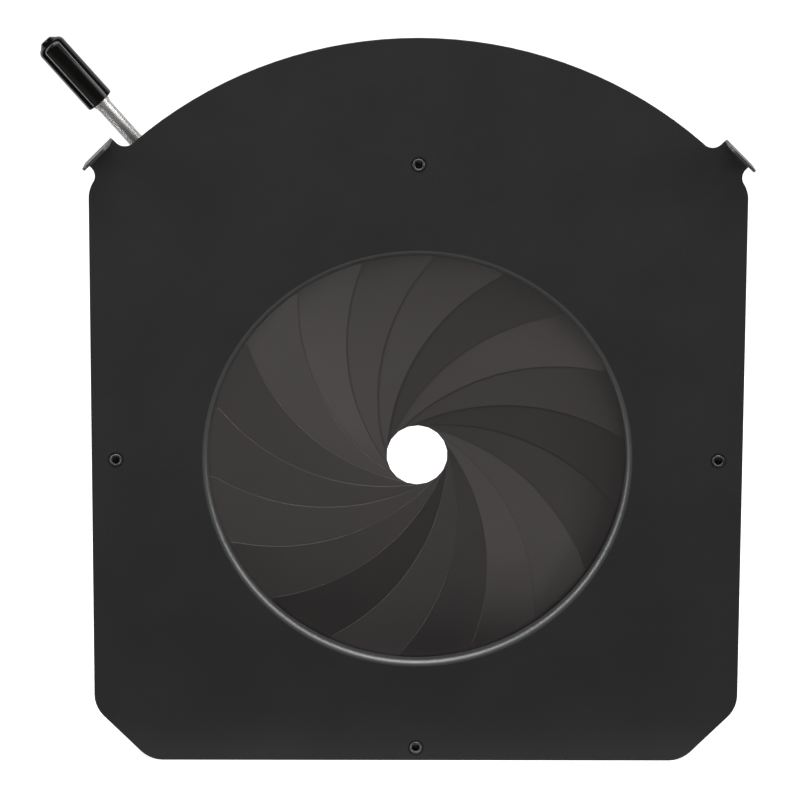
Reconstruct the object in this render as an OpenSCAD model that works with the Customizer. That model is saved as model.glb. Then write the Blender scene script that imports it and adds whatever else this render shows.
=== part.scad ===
// Drop-in iris diaphragm for a profile spotlight gate.
// +X is to the right and +Z up, seen from the front. +Y runs with the light, from front to back.
// The origin is on the optical axis, in the plane of the drawn lip's rear edge.

/* [Front plate] */
// How far the straight side edges stand out past the iris unit
plate_side = 2.75; // [1:0.05:12]
// How far the bottom edge stands out past the iris unit
plate_foot = 0.45; // [0:0.05:12]
// How far the arched top edge rises past the iris unit
arch_rise = 24.35; // [21:0.05:35]
// Sheet thickness of the plate, its tabs and its lip
sheet_t = 0.6; // [0.5:0.05:0.9]
// Leg of the cut across each bottom corner
corner_cut = 11.8; // [8:0.1:16]
// Rounding at both ends of a bottom corner cut
corner_r = 7; // [2:0.5:9]
// Rounding where a side edge runs into the arched top
shoulder_r = 6; // [2:0.5:9]

/* [Light opening] */
// Clear radius inside the drawn lip
opening_r = 44.1; // [40:0.1:52]
// Radius of the bend that the lip is drawn over, on the front
lip_bend_r = 1.25; // [0.8:0.05:1.4]
// How far the lip stands behind the sheet
lip_rise = 2.4; // [2.2:0.1:3]

/* [Finger tabs] */
// Distance from the arched edge out to the outer face of a tab
tab_out = 3.95; // [3.2:0.05:8]
// Length of a tab along its bend
tab_len = 7.4; // [5:0.1:9]
// How far a tab stands in front of the plate
tab_h = 10; // [5:0.5:14]
// Inside radius of the tab's bend
tab_bend_r = 0.6; // [0.4:0.1:1]
// How far a tab leans outwards from square to the plate, in degrees
tab_lean = 2.5; // [0:0.5:5]
// Rounding of a tab's free corners
tab_corner_r = 1.9; // [0.5:0.1:2.4]
// Relief radius on both sides of a tab
relief_r = 2.5; // [1:0.1:3]

/* [Leaves] */
// Number of leaves
leaf_count = 18; // [16:1:20]
// Thickness of a leaf
leaf_t = 0.1; // [0.06:0.01:0.14]
// Air between one leaf and the next
leaf_gap = 0.04; // [0.03:0.01:0.08]
// How far the open leaves lie hidden behind the lip
leaf_hide = 1.3; // [0.6:0.1:2]
// Radius of the smallest aperture
aperture_r = 6.35; // [5:0.05:9]
// Radius of a leaf's rounded ends
pad_r = 3.5; // [2.6:0.1:3.8]
// Angle of the first pivot, counterclockwise from +X
first_pivot_angle = 8.5; // [0:0.5:19.5]
// Facets along the curved middle of a leaf
leaf_steps = 22; // [14:1:30]

/* [Studs] */
// Radius of a stud
stud_r = 0.8; // [0.6:0.05:1]
// Running clearance round a stud and round the hub
running_gap = 0.05; // [0.03:0.01:0.08]

/* [Base ring] */
// Thickness of the ring that carries the pivots
base_t = 2.5; // [2.4:0.1:3.2]

/* [Cam ring] */
// Thickness of the slotted ring
cam_t = 1.5; // [1.2:0.1:2]
// Width of metal outside the slots
cam_rim = 2.5; // [1.5:0.1:4]
// From the bore of the ring out to where a cam stud comes nearest to the axis
cam_web = 2.7; // [2.4:0.1:5]

/* [Housing] */
// Space between the cam ring's edge and the housing's wall
wall_gap = 1.15; // [0.8:0.05:2]
// Thickness of the housing's wall
wall_t = 4.7; // [4.4:0.1:8]
// How much wider the opening at the back is than the front one, on the radius
rear_step = 0.7; // [0.2:0.1:1]
// Thickness of the hub that the cam ring turns on
hub_wall = 1.4; // [1:0.1:1.6]
// Thickness of the housing's floor
floor_t = 1.2; // [1:0.1:2]

/* [Lever] */
// Lever angle with the iris closed, counterclockwise from +X
lever_closed = 131.35; // [129:0.05:133]
// Radius of the lever rod
rod_r = 1.6; // [1.2:0.05:1.8]
// Distance from the arched edge out to the knob's inner end
knob_clear = 10.2; // [6:0.1:20]
// Length of the knob
knob_len = 16.3; // [12:0.1:20]
// Radius of the knob
knob_r = 3.05; // [2.6:0.05:4]
// Rounding of the knob's outer end
knob_round = 1.5; // [0.8:0.1:2]

/* [Fasteners] */
// Radius of a rivet's shank
rivet_r = 1.05; // [0.8:0.05:1.2]
// Radius of the countersink round a rivet, at the front face
countersink_r = 1.9; // [1.6:0.05:2.1]
// Radius of a housing screw
screw_r = 1; // [0.8:0.05:1.1]

/* [Hidden] */
$fn = 96;
// Overshoot of a cutting solid past the faces it cuts
over = 1;

// Radii from the light opening outwards
leaf_in_r = opening_r + leaf_hide;
rear_opening_r = opening_r + rear_step;
hub_r = rear_opening_r + hub_wall;
cam_bore_r = hub_r + running_gap;

// Leaf swing: the inner edges' centres move from the axis to leaf_shift away from it.
leaf_shift = leaf_in_r - aperture_r;
// The studs start and end on one circle, and halfway the cam stud is nearest to the axis. The
// circle is the one that keeps the stud cam_web away from the bore there.
cam_stud_min_r = cam_bore_r + cam_web;
stud_circle_r = round(10 / 3
    * (cam_stud_min_r + sqrt(4 * pow(cam_stud_min_r, 2) + 3 * pow(leaf_shift, 2)))) / 10;
leaf_out_r = stud_circle_r + pad_r;
leaf_swing = 2 * asin(leaf_shift / (2 * stud_circle_r));
// Angle between a leaf's two studs, about the centre of its inner edge
stud_span = 180 - leaf_swing;
// Place along a leaf, in degrees from its pivot, where the closed leaf touches the aperture
touch_at = 90 - leaf_swing / 2;
leaf_pitch = 360 / leaf_count;

// The cam stud swings twice as far round the axis as its leaf turns. A little more lever
// travel shares the play out evenly over the two sides of a straight slot.
play_share = 1.0157;
lever_sweep = 2 * leaf_swing * play_share;

// Each leaf climbs towards the back as a helix does. The climb follows the angle at which
// neighbouring leaves cross when closed, so they keep leaf_gap apart at every point.
leaf_ecc = leaf_shift / leaf_in_r;
pad_flat_angle = 2;
function crossings(u) = 2 / sqrt(1 - pow(leaf_ecc, 2))
    * atan(sqrt((1 + leaf_ecc) / (1 - leaf_ecc)) * tan(u / 2)) / leaf_pitch;
function rise(psi) = (leaf_t + leaf_gap)
    * crossings(min(max(psi, pad_flat_angle), stud_span - pad_flat_angle) - touch_at);

// Depths along +Y, from front to back
end_gap = 0.1;
sheet_y = -lip_rise;
front_y = sheet_y - sheet_t;
base_y = sheet_y + base_t;
leaf_y = base_y + running_gap;
leaf_rise = rise(stud_span) - rise(0);
cam_y = leaf_y + leaf_rise + leaf_t + running_gap;
floor_y = cam_y + cam_t + end_gap;
back_y = floor_y + floor_t;
rod_y = cam_y + cam_t / 2;

// Half width of a leaf at psi degrees from its pivot: a round pad that widens into the blade
blend_angle = 9;
pad_tip_half = 0.3;
function ease(x) = let (k = min(max(x, 0), 1)) k * k * (3 - 2 * k);
function from_end(psi) = min(psi, stud_span - psi);
function widening(psi) = ease(from_end(psi) / blend_angle);
function arc_mm(psi) = stud_circle_r * from_end(psi) * PI / 180;
function pad_half(psi) = sqrt(max(pow(pad_r, 2) - pow(min(arc_mm(psi), 0), 2), pow(pad_tip_half, 2)));
function inner_edge(psi) = let (w = widening(psi))
    (stud_circle_r - pad_half(psi)) * (1 - w) + leaf_in_r * w;
function outer_edge(psi) = let (w = widening(psi))
    (stud_circle_r + pad_half(psi)) * (1 - w) + leaf_out_r * w;

// Stations along a leaf, in degrees from its pivot
pad_angle = pad_r / stud_circle_r * 180 / PI;
end_stations = concat([for (a = [90, 65, 40, 20, 0]) -pad_angle * sin(a)], [pad_flat_angle, 4.5, 6.8]);
middle_stations = [for (i = [0:leaf_steps]) blend_angle + (stud_span - 2 * blend_angle) * i / leaf_steps];
stations = concat(end_stations, middle_stations,
    [for (i = [len(end_stations) - 1:-1:0]) stud_span - end_stations[i]]);

function pivot_angle(k) = first_pivot_angle + k * leaf_pitch;
function polar(r, a) = [r * cos(a), r * sin(a)];
function turn(p, a) = [p[0] * cos(a) - p[1] * sin(a), p[0] * sin(a) + p[1] * cos(a)];
// Where the cam stud of leaf 0 is in the cam ring, with its pivot at angle 0 and the lever at
// the share s of its sweep from closed
function cam_stud(s) = let (
    pivot = [stud_circle_r, 0],
    shut = polar(stud_circle_r, 180 + leaf_swing),
    moved = pivot + turn(shut - pivot, -leaf_swing * s)
) turn(moved, lever_sweep * s);
cam_track = [for (s = [0:0.02:1]) cam_stud(s)];
track_angles = [for (p = cam_track) (atan2(p[1], p[0]) + 360) % 360];
slot_angle = (max(track_angles) + min(track_angles)) / 2;
slot_play = max([for (p = cam_track) abs(turn(p, -slot_angle)[1])]);
// Rounded to a hundredth, so the slots' straight sides meet their round ends exactly
slot_r = ceil(100 * (stud_r + running_gap + slot_play)) / 100;
slot_in = floor(100 * min([for (p = cam_track) norm(p)])) / 100;

// Radii of the cam ring, the housing and the plate, each from the one inside it
cam_r = round(100 * (stud_circle_r + slot_r + cam_rim)) / 100;
wall_in_r = cam_r + wall_gap;
unit_r = wall_in_r + wall_t;
fastener_r = wall_in_r + wall_t / 2;
plate_half = unit_r + plate_side;
plate_drop = unit_r + plate_foot;
arch_r = unit_r + arch_rise;
tab_reach = arch_r + tab_out;
knob_start = arch_r + knob_clear;

// Rounds that meet an edge are laid this much over it
lap = 0.005;
bend_steps = 10;
tab_bend_x = tab_reach - sheet_t - tab_bend_r;
// Centres of a relief: in a tab's own directions and on the plate. The relief bites a little
// into the arched edge and runs into the round shoulder of the side edge.
relief_bite = 0.03;
relief_aside = tab_len / 2 + relief_r;
relief_at = [sqrt(pow(arch_r + relief_r - relief_bite, 2) - pow(relief_aside, 2)), relief_aside];
side_relief_at = [relief_at[0] + relief_at[1], relief_at[0] - relief_at[1]] / sqrt(2);
shoulder_x = plate_half - shoulder_r;
shoulder_at = [shoulder_x,
    side_relief_at[1] - sqrt(pow(relief_r + shoulder_r, 2) - pow(side_relief_at[0] - shoulder_x, 2))];

bore_gap = 0.5;
base_bore_r = opening_r + lip_bend_r + bore_gap;
boss_wall = 1;
boss_w = 2 * (rod_r + boss_wall);
boss_gap = 0.6;
notch_in_r = cam_r + 0.4;
boss_in = notch_in_r + 0.4;
boss_out = unit_r - boss_gap;
notch_margin = asin((boss_w / 2 + boss_gap) / boss_in);
rod_depth = 4;
knob_socket = 8;
rod_shoulder = 1.3;
knob_edge_r = 0.4;
pip_r = 1.3;
pip_len = 0.8;
rivet_angles = [0, 90, 180, 270];
screw_angles = [22.5, 157.5, 225, 315];
roll_r = 0.3;
roll_at = [rivet_r + 0.02, sheet_t - 0.2];
rivet_hollow_r = rivet_r - 0.25;
rivet_head_r = rivet_r + 0.75;
rivet_head_t = 0.5;
screw_head_r = screw_r + 0.9;
screw_gap = end_gap;
screw_hex_r = 0.75;
screw_hex_deep = 0.7;

LEAVES = [for (k = [1:leaf_count]) k];
function two(k) = k < 10 ? str("0", k) : str(k);

// Draws a front-view outline from depth y0 back to depth y1.
module slab(y0, y1) {
    translate([0, y1, 0]) rotate([90, 0, 0]) linear_extrude(y1 - y0) children();
}

// Turns solids drawn in front view, with +Z towards the viewer, to face the front at depth y.
module facing(y = 0) {
    translate([0, y, 0]) rotate([90, 0, 0]) children();
}

module at_polar(r, a) {
    rotate([0, 0, a]) translate([r, 0, 0]) children();
}

module ring_2d(inner_r, outer_r) {
    difference() {
        circle(outer_r);
        circle(inner_r);
    }
}

// The corner between a and b at c that a round of radius r takes off. The round is laid a
// hair outside the two edges, so it meets them cleanly.
module round_off(c, a, b, r) {
    u = (a - c) / norm(a - c);
    v = (b - c) / norm(b - c);
    half_angle = acos(u * v) / 2;
    ta = c + u * r / tan(half_angle);
    tb = c + v * r / tan(half_angle);
    difference() {
        polygon([ta + (ta - tb) / 5, c - (u + v) * r, tb + (tb - ta) / 5]);
        translate(c + (u + v) / norm(u + v) * r / sin(half_angle)) circle(r + lap);
    }
}

// Flat foot of a tab. +X is outwards, along 45 degrees.
module tab_foot() {
    polygon([[0, 0], relief_at, [relief_at[0], -relief_at[1]]]);
    translate([unit_r, -tab_len / 2]) square([tab_bend_x - unit_r, tab_len]);
}

// Bend and standing part of a tab. +X is outwards and +Z towards the viewer.
module tab_wall() {
    outer_r = sheet_t + tab_bend_r;
    bend = [tab_bend_x, outer_r];
    up = [sin(tab_lean), cos(tab_lean)];
    out = [cos(tab_lean), -sin(tab_lean)];
    top = sheet_t + tab_h - outer_r;
    profile = concat(
        [[tab_bend_x - 0.2, 0]],
        [for (i = [0:bend_steps]) bend + polar(outer_r, -90 + (90 - tab_lean) * i / bend_steps)],
        [bend + outer_r * out + top * up, bend + tab_bend_r * out + top * up],
        [for (i = [bend_steps:-1:0]) bend + polar(tab_bend_r, -90 + (90 - tab_lean) * i / bend_steps)],
        [[tab_bend_x - 0.2, sheet_t]]);
    difference() {
        rotate([90, 0, 0]) translate([0, 0, -tab_len / 2]) linear_extrude(tab_len) polygon(profile);
        translate([tab_bend_x - over, 0, 0]) rotate([90, 0, 90]) linear_extrude(outer_r + 3 * over)
            for (side = [-1, 1]) round_off([side * tab_len / 2, sheet_t + tab_h],
                [side * tab_len / 2, 0], [0, sheet_t + tab_h], tab_corner_r);
    }
}

// Plan of the plate with its bottom corners cut and rounded and a relief on both sides of a tab
module plate_outline() {
    half = plate_half;
    low = -plate_drop;
    cut = corner_cut;
    difference() {
        union() {
            intersection() {
                circle(arch_r);
                polygon([[half, arch_r], [-half, arch_r], [-half, low + cut], [-half + cut, low],
                    [half - cut, low], [half, low + cut]]);
            }
            for (a = [45, 135]) rotate(a) tab_foot();
        }
        for (side = [0, 1]) mirror([side, 0]) {
            round_off([half, low + cut], [half, 0], [half - cut, low], corner_r);
            round_off([half - cut, low], [half, low + cut], [0, low], corner_r);
            difference() {
                polygon([shoulder_at, [half + shoulder_r, shoulder_at[1]], side_relief_at]);
                translate(shoulder_at) circle(shoulder_r + lap);
            }
            for (at = [side_relief_at, [side_relief_at[1], side_relief_at[0]]])
                translate(at) circle(relief_r + lap);
        }
    }
}

// Half section of the drawn lip, as [radius, distance towards the viewer from the sheet's back]
module lip_section() {
    bend = [opening_r + lip_bend_r, sheet_t - lip_bend_r];
    translate([opening_r, -lip_rise]) square([sheet_t, lip_rise + bend[1]]);
    intersection() {
        translate(bend) ring_2d(lip_bend_r - sheet_t, lip_bend_r);
        translate([opening_r, bend[1]]) square(lip_bend_r);
    }
    translate([bend[0], 0]) square(sheet_t);
}

// Pressed sheet: arched plate, drawn lip round the light opening and two bent finger tabs
module front_plate() {
    color([0.15, 0.15, 0.15]) {
        difference() {
            slab(front_y, sheet_y) difference() {
                plate_outline();
                circle(opening_r + lip_bend_r + sheet_t / 2);
            }
            facing(sheet_y) for (a = rivet_angles) at_polar(fastener_r, a) {
                translate([0, 0, -over]) cylinder(h = 2 * over, r = rivet_r);
                cylinder(h = sheet_t, r1 = rivet_r, r2 = countersink_r);
            }
        }
        facing(sheet_y) {
            rotate_extrude() lip_section();
            for (a = [45, 135]) rotate([0, 0, a]) tab_wall();
        }
    }
}

// Semi-tubular rivets: flat head behind the base ring, hollow end rolled over in the countersink
module plate_rivets() {
    color([0.35, 0.35, 0.36]) facing(sheet_y) for (a = rivet_angles) at_polar(fastener_r, a) difference() {
        union() {
            translate([0, 0, -base_t - rivet_head_t]) cylinder(h = rivet_head_t, r = rivet_head_r);
            translate([0, 0, -base_t]) cylinder(h = base_t + roll_at[1], r = rivet_r);
            rotate_extrude() {
                polygon([[0, 0], [rivet_r, 0], roll_at + [0.2, -0.1], roll_at + [0.2, 0.05],
                    [0, roll_at[1] + 0.05]]);
                translate(roll_at) circle(roll_r);
            }
        }
        translate([0, 0, -base_t / 2]) cylinder(h = base_t + sheet_t, r = rivet_hollow_r);
    }
}

// Fixed ring behind the sheet, with a bearing hole for each leaf's pivot stud
module base_ring() {
    color([0.3, 0.3, 0.31]) slab(sheet_y, base_y) difference() {
        ring_2d(base_bore_r, unit_r);
        for (k = LEAVES) rotate(pivot_angle(k - 1)) translate([stud_circle_r, 0])
            circle(stud_r + running_gap);
        for (a = rivet_angles) rotate(a) translate([fastener_r, 0]) circle(rivet_r);
        for (a = screw_angles) rotate(a) translate([fastener_r, 0]) circle(screw_r);
    }
}

// One leaf with the centre of its inner edge on the origin and its pivot on +X. Every station
// has four corners: inner and outer edge of the front face, then of the back face.
module leaf_blade() {
    corners = [for (psi = stations) let (depth = leaf_y + rise(psi) - rise(0))
        each [for (c = [[inner_edge(psi), 0], [outer_edge(psi), 0],
            [outer_edge(psi), leaf_t], [inner_edge(psi), leaf_t]]) concat(polar(c[0], psi), -depth - c[1])]];
    last = 4 * (len(stations) - 1);
    sides = [for (i = [0:len(stations) - 2], j = [0:3]) let (
        a = 4 * i + j, b = 4 * i + (j + 1) % 4, c = b + 4, d = a + 4
    ) each [[a, c, b], [a, d, c]]];
    polyhedron(corners, concat(sides, [[0, 1, 2], [0, 2, 3],
        [last, last + 2, last + 1], [last, last + 3, last + 2]]));
}

// Puts what is drawn about a leaf's own centre where leaf k is with the iris closed.
module closed_leaf(k) {
    a = pivot_angle(k - 1);
    facing() translate(concat(polar(leaf_shift, a - touch_at), 0)) rotate([0, 0, a + leaf_swing])
        children();
}

module leaf(k) {
    color([0.2, 0.19, 0.18]) closed_leaf(k) leaf_blade();
}

// The two studs staked on a leaf: the pivot stud in front, the cam stud behind
module leaf_studs(k) {
    cam_stud_len = running_gap + cam_t - end_gap;
    color([0.6, 0.58, 0.5]) closed_leaf(k) {
        translate([stud_circle_r, 0, -leaf_y]) cylinder(h = base_t + running_gap - end_gap, r = stud_r);
        rotate([0, 0, stud_span]) translate([stud_circle_r, 0, -cam_y + running_gap - cam_stud_len])
            cylinder(h = cam_stud_len, r = stud_r);
    }
}

// Turning ring with a straight slot for each cam stud and a boss for the lever
module cam_ring() {
    color([0.33, 0.33, 0.34]) difference() {
        union() {
            slab(cam_y, cam_y + cam_t) {
                ring_2d(cam_bore_r, cam_r);
                rotate(lever_closed) translate([cam_r - cam_rim / 2, -boss_w / 2])
                    square([boss_in - cam_r + cam_rim, boss_w]);
            }
            slab(2 * rod_y - back_y, back_y)
                rotate(lever_closed) translate([boss_in, -boss_w / 2]) square([boss_out - boss_in, boss_w]);
        }
        slab(cam_y - over, cam_y + cam_t + over) for (k = LEAVES) rotate(pivot_angle(k - 1) + slot_angle) {
            for (r = [slot_in, stud_circle_r]) translate([r, 0]) circle(slot_r);
            translate([slot_in, -slot_r]) square([stud_circle_r - slot_in, 2 * slot_r]);
        }
        lever_axis(boss_out - rod_depth) cylinder(h = rod_depth + over, r = rod_r);
    }
}

// Draws along the lever, with +Z outwards, from radius r
module lever_axis(r) {
    facing(rod_y) rotate([0, 0, lever_closed]) translate([r, 0, 0]) rotate([0, 90, 0]) children();
}

// Steel rod pressed into the boss, with a swaged shoulder under the knob
module lever_rod() {
    color([0.8, 0.79, 0.77]) lever_axis(0) rotate_extrude() polygon([
        [0, boss_out - rod_depth], [rod_r, boss_out - rod_depth], [rod_r, knob_start - rod_shoulder],
        [rod_r + 0.4, knob_start], [rod_r, knob_start], [rod_r, knob_start + knob_socket],
        [0, knob_start + knob_socket]]);
}

// Moulded knob pressed on the rod's end, with a small moulding pip at its tip
module lever_knob() {
    color([0.06, 0.06, 0.06]) lever_axis(knob_start) difference() {
        rotate_extrude() {
            translate([0, knob_edge_r]) square([knob_r, knob_len - knob_edge_r - knob_round]);
            square([knob_r - knob_edge_r, knob_edge_r]);
            translate([0, knob_len - knob_round]) square([knob_r - knob_round, knob_round]);
            intersection() {
                translate([knob_r - knob_edge_r, knob_edge_r]) circle(knob_edge_r);
                translate([knob_r - knob_edge_r, 0]) square(knob_edge_r);
            }
            intersection() {
                translate([knob_r - knob_round, knob_len - knob_round]) circle(knob_round);
                translate([knob_r - knob_round, knob_len - knob_round]) square(knob_round);
            }
            polygon([[0, knob_len - 1], [pip_r + 0.35, knob_len - 0.25], [pip_r, knob_len + pip_len - 0.3],
                [pip_r - 0.35, knob_len + pip_len], [0, knob_len + pip_len]]);
        }
        translate([0, 0, -over]) cylinder(h = knob_socket + over, r = rod_r);
    }
}

module sector(outer_r, from, to) {
    polygon(concat([[0, 0]], [for (i = [0:8]) polar(outer_r, from + (to - from) * i / 8)]));
}

// Machined cup behind the leaves: wall, floor and the hub that the cam ring turns on
module housing() {
    notch_from = lever_closed - lever_sweep - notch_margin;
    notch_to = lever_closed + notch_margin;
    color([0.13, 0.13, 0.135]) difference() {
        union() {
            slab(base_y, back_y) ring_2d(wall_in_r, unit_r);
            slab(floor_y, back_y) ring_2d(rear_opening_r, unit_r);
            slab(cam_y, back_y) ring_2d(rear_opening_r, hub_r);
        }
        slab(base_y - over, back_y + over) difference() {
            sector(2 * unit_r, notch_from, notch_to);
            circle(notch_in_r);
        }
        facing() {
            for (a = rivet_angles) at_polar(fastener_r, a)
                translate([0, 0, -base_y - rivet_head_t - end_gap])
                    cylinder(h = rivet_head_t + over, r = rivet_head_r + 2 * end_gap);
            for (a = screw_angles) at_polar(fastener_r, a) {
                translate([0, 0, -back_y - over]) cylinder(h = back_y + 3 * over, r = screw_r + screw_gap);
                translate([0, 0, -back_y - over]) cylinder(h = screw_head_r - screw_r + over,
                    r1 = screw_head_r + screw_gap + over, r2 = screw_r + screw_gap);
            }
        }
    }
}

// Countersunk screws from the back of the housing into the base ring
module housing_screws() {
    color([0.25, 0.25, 0.26]) facing() for (a = screw_angles) at_polar(fastener_r, a) difference() {
        union() {
            translate([0, 0, -back_y]) cylinder(h = back_y - sheet_y - end_gap, r = screw_r);
            translate([0, 0, -back_y])
                cylinder(h = screw_head_r - screw_r, r1 = screw_head_r, r2 = screw_r);
        }
        translate([0, 0, -back_y - over])
            cylinder(h = over + screw_hex_deep, r = screw_hex_r, $fn = 6);
    }
}

front_plate();
plate_rivets();
base_ring();
cam_ring();
lever_rod();
lever_knob();
housing();
housing_screws();
for (k = LEAVES) {
    leaf(k);
    leaf_studs(k);
}
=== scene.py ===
import math

import bmesh
import bpy
from mathutils import Matrix, Vector


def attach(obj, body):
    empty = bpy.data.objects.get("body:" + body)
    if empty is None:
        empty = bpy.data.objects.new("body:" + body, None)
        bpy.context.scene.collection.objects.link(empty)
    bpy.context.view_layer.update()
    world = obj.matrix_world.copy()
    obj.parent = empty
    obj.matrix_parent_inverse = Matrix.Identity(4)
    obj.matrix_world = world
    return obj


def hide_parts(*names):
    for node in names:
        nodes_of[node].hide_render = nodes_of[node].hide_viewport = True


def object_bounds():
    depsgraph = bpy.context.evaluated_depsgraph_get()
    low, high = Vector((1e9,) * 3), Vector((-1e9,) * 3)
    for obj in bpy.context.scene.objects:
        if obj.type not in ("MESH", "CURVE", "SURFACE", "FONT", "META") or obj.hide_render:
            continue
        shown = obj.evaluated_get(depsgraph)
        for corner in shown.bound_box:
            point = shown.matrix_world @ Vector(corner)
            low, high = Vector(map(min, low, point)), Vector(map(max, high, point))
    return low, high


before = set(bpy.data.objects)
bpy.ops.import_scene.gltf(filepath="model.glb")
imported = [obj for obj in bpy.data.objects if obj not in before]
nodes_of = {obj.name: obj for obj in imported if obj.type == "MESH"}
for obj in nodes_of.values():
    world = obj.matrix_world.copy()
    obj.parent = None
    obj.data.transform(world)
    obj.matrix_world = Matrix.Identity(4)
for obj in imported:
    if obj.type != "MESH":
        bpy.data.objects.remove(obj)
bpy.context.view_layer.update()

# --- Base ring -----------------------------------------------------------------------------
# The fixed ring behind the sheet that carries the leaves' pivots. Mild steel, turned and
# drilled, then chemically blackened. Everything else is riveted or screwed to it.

# Places nearer than SAME_PLACE are one, and faces within LEVEL lie in one plane. Edges steeper
# than CRISP get broken, in BREAK_STEPS faces, and those steeper than CREASE shade sharp.
SAME_PLACE = 2e-6
LEVEL, CREASE, CRISP = math.radians(0.04), math.radians(31), math.radians(40)
BREAK_STEPS = 2


def finished_copy(node, edge, reshape=None):
    """The machined piece of a node with its edges broken by a small round."""
    work = bmesh.new()
    work.from_mesh(nodes_of[node].data)
    bmesh.ops.remove_doubles(work, verts=work.verts, dist=SAME_PLACE)
    bmesh.ops.dissolve_limit(work, angle_limit=LEVEL, verts=work.verts, edges=work.edges)
    if reshape:
        reshape(work)
    crisp = [e for e in work.edges if len(e.link_faces) == 2 and e.calc_face_angle(0) > CRISP]
    rub = work.faces.layers.float.new("edge")
    made = bmesh.ops.bevel(
        work, geom=crisp, offset=edge, offset_type="OFFSET", segments=BREAK_STEPS,
        profile=0.5, affect="EDGES", clamp_overlap=True,
    )
    for face in made["faces"]:
        face[rub] = 1.0
    piece = into_object(work, node + "_finished")
    level = piece.modifiers.new("level", "WEIGHTED_NORMAL")
    level.weight, level.keep_sharp = 100, True
    return as_plain_mesh(piece, piece.name)


def as_plain_mesh(host, name):
    """Turns what a modifier makes of an object into its own mesh."""
    evaluated = host.evaluated_get(bpy.context.evaluated_depsgraph_get())
    mesh = bpy.data.meshes.new_from_object(evaluated)
    host.modifiers.clear()
    host.data = mesh
    mesh.name = name
    return host


def shade(mesh):
    """Shades a mesh smoothly, but for its creases."""
    mesh.polygons.foreach_set("use_smooth", [True] * len(mesh.polygons))
    mesh.set_sharp_from_angle(angle=CREASE)


def linked(name, data):
    piece = bpy.data.objects.new(name, data)
    bpy.context.scene.collection.objects.link(piece)
    return piece


def into_object(work, name):
    mesh = bpy.data.meshes.new(name)
    work.to_mesh(mesh)
    work.free()
    shade(mesh)
    return linked(name, mesh)


def fitted(piece, finish, body, *nodes):
    """Gives a piece its finish and puts it in the place of its nodes."""
    if finish is not None:
        piece.data.materials.clear()
        piece.data.materials.append(finish)
    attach(piece, body)
    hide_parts(*nodes)
    return piece


class Wire:
    """A value in a node tree that can be reckoned with as a number can."""

    def __init__(self, tree, socket):
        self.tree, self.socket = tree, socket

    def reckon(self, operation, *others):
        node = self.tree.nodes.new("ShaderNodeMath")
        node.operation = operation
        for slot, value in zip(node.inputs, (self,) + others):
            feed(self.tree, slot, value)
        return Wire(self.tree, node.outputs[0])

    def __add__(self, other):
        return self.reckon("ADD", other)

    def __sub__(self, other):
        return self.reckon("SUBTRACT", other)

    def __mul__(self, other):
        return self.reckon("MULTIPLY", other)

    def __truediv__(self, other):
        return self.reckon("DIVIDE", other)

    def ramp(self, low, high, to_low=0.0, to_high=1.0):
        node = self.tree.nodes.new("ShaderNodeMapRange")
        node.interpolation_type = "SMOOTHSTEP"
        for slot, value in zip(node.inputs, (self, low, high, to_low, to_high)):
            feed(self.tree, slot, value)
        return Wire(self.tree, node.outputs[0])

    def along(self, *axes):
        """The parts of a vector along the axes."""
        node = self.tree.nodes.new("ShaderNodeSeparateXYZ")
        feed(self.tree, node.inputs[0], self)
        return [Wire(self.tree, node.outputs[axis]) for axis in axes]

    def from_axis(self):
        """How far a place is from the optical axis."""
        across, upward = self.along("X", "Z")
        return (across * across + upward * upward).reckon("SQRT")


def feed(tree, slot, value):
    if isinstance(value, Wire):
        tree.links.new(value.socket, slot)
    else:
        slot.default_value = value


def node_of(tree, kind, output=0, settings=(), **inputs):
    """Adds a node, sets it up and feeds its inputs by name. Gives back its output as a Wire."""
    node = tree.nodes.new(kind)
    for key, value in dict(settings).items():
        setattr(node, key, value)
    for key, value in inputs.items():
        feed(tree, node.inputs[key.replace("_", " ")], value)
    return Wire(tree, node.outputs[output])


def inputs_of(tree):
    given = tree.nodes.new("NodeGroupInput").outputs
    return {socket.name: Wire(tree, socket) for socket in given if socket.name}


def effect(name, takes, gives):
    """A shader node group with named inputs and outputs, ready to be filled."""
    tree = bpy.data.node_groups.new(name, "ShaderNodeTree")
    for label, kind, value in takes:
        socket = tree.interface.new_socket(label, in_out="INPUT", socket_type=kind)
        if value is not None:
            socket.default_value = value
    for label in gives:
        tree.interface.new_socket(label, in_out="OUTPUT", socket_type=FLOAT)
    return tree, inputs_of(tree), tree.nodes.new("NodeGroupOutput")


def place_effect(tree, group, **inputs):
    node = tree.nodes.new("ShaderNodeGroup")
    node.node_tree = group
    for key, value in inputs.items():
        feed(tree, node.inputs[key.replace("_", " ")], value)
    return {s.name: Wire(tree, s) for s in node.outputs}


FLOAT, INTEGER, VECTOR = "NodeSocketFloat", "NodeSocketInt", "NodeSocketVector"
GEOMETRY, MATERIAL, OBJECT = "NodeSocketGeometry", "NodeSocketMaterial", "NodeSocketObject"

# Numbers of the outputs that are used: object coordinates, an attribute's value, an object's
# geometry and a random number.
OBJECT_PLACE, ATTRIBUTE_VALUE, OBJECT_GEOMETRY, RANDOM_FLOAT = 3, 2, 4, 1

# Bare metal shows where an edge has been handled, in broken patches.
edge_rub, given, result = effect(
    "edge rub",
    [("Place", VECTOR, None), ("Edge", FLOAT, 0.0), ("Patch Size", FLOAT, 0.002),
     ("Cover", FLOAT, 0.5)],
    ["Mask"],
)
patches = node_of(edge_rub, "ShaderNodeTexNoise", Vector=given["Place"],
                  Scale=given["Patch Size"].reckon("POWER", -1.0), Detail=3.0, Roughness=0.6)
patches = patches.ramp(given["Cover"] * -0.5 + 0.72, given["Cover"] * -0.5 + 0.86)
feed(edge_rub, result.inputs["Mask"], patches * given["Edge"])

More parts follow.
